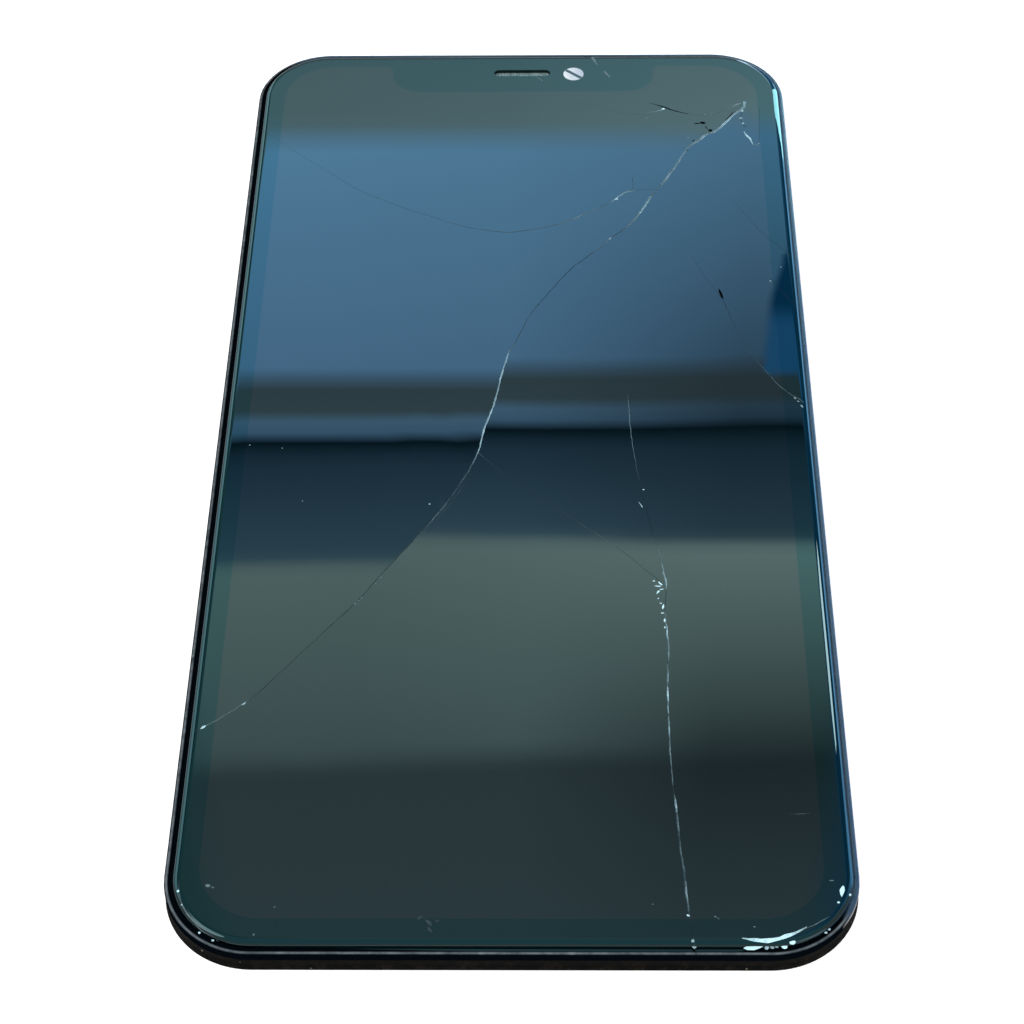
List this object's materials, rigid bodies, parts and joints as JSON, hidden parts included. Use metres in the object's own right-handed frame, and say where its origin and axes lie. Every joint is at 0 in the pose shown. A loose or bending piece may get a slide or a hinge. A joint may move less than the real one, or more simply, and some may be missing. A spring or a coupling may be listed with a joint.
{
  "type": "cracked phone screen module",
  "caption": "Cracked display module of a notched phone: rounded cover glass in a slim black frame, with layers, steel back plate, flex cables and connectors behind it.",
  "frame": {"origin": "bottom centre: the middle of the seal strip's foot, on the surface the module lies on", "axes": "+X to the right-hand long edge, +Y to the notched end, +Z out of the cover glass"},
  "size_m": [0.0694, 0.1422, 0.0031],
  "materials": {
    "cover_glass": "polished, cracked",
    "optical_adhesive": "clear film",
    "polarizer": "smooth film",
    "touch_sensor": "smooth film",
    "display_panel": "smooth",
    "panel_foam": "matte foam",
    "heat_spreader": "dull copper",
    "back_plate": "stamped, dull",
    "bezel_frame": "satin black",
    "frame_glue": "matte",
    "seal_strip": "matte, dusty",
    "earpiece_mesh": "woven, grey",
    "black_rubber": "matte",
    "camera_film": "white film",
    "sensor_lens": "smoked",
    "standoff": "turned",
    "spring_steel": "bright",
    "flex": "amber film",
    "chip": "satin",
    "connector": "moulded",
    "stiffener": "dull",
    "tape": "matte tape",
    "ground_pad": "conductive cloth over foam"
  },
  "bodies": {
    "root": {"cover_glass": "cover_glass", "optical_adhesive": "optical_adhesive", "polarizer": "polarizer", "touch_sensor": "touch_sensor", "display_panel": "display_panel", "panel_foam": "panel_foam", "heat_spreader": "heat_spreader", "back_plate": "back_plate", "bezel_frame": "bezel_frame", "frame_glue": "frame_glue", "seal_strip": "seal_strip", "earpiece_mesh": "earpiece_mesh", "mesh_gasket": "black_rubber", "camera_seat": "black_rubber", "camera_film": "camera_film", "sensor_lenses": "sensor_lens", "standoffs": "standoff", "side_clips": "spring_steel", "top_hooks": "spring_steel", "display_flex": "flex", "driver_chip": "chip", "display_connector": "connector", "display_stiffener": "stiffener", "touch_flex": "flex", "touch_chip": "chip", "touch_connector": "connector", "touch_stiffener": "stiffener", "flex_tape": "tape", "ground_pads": "ground_pad"}
  },
  "joints": []
}
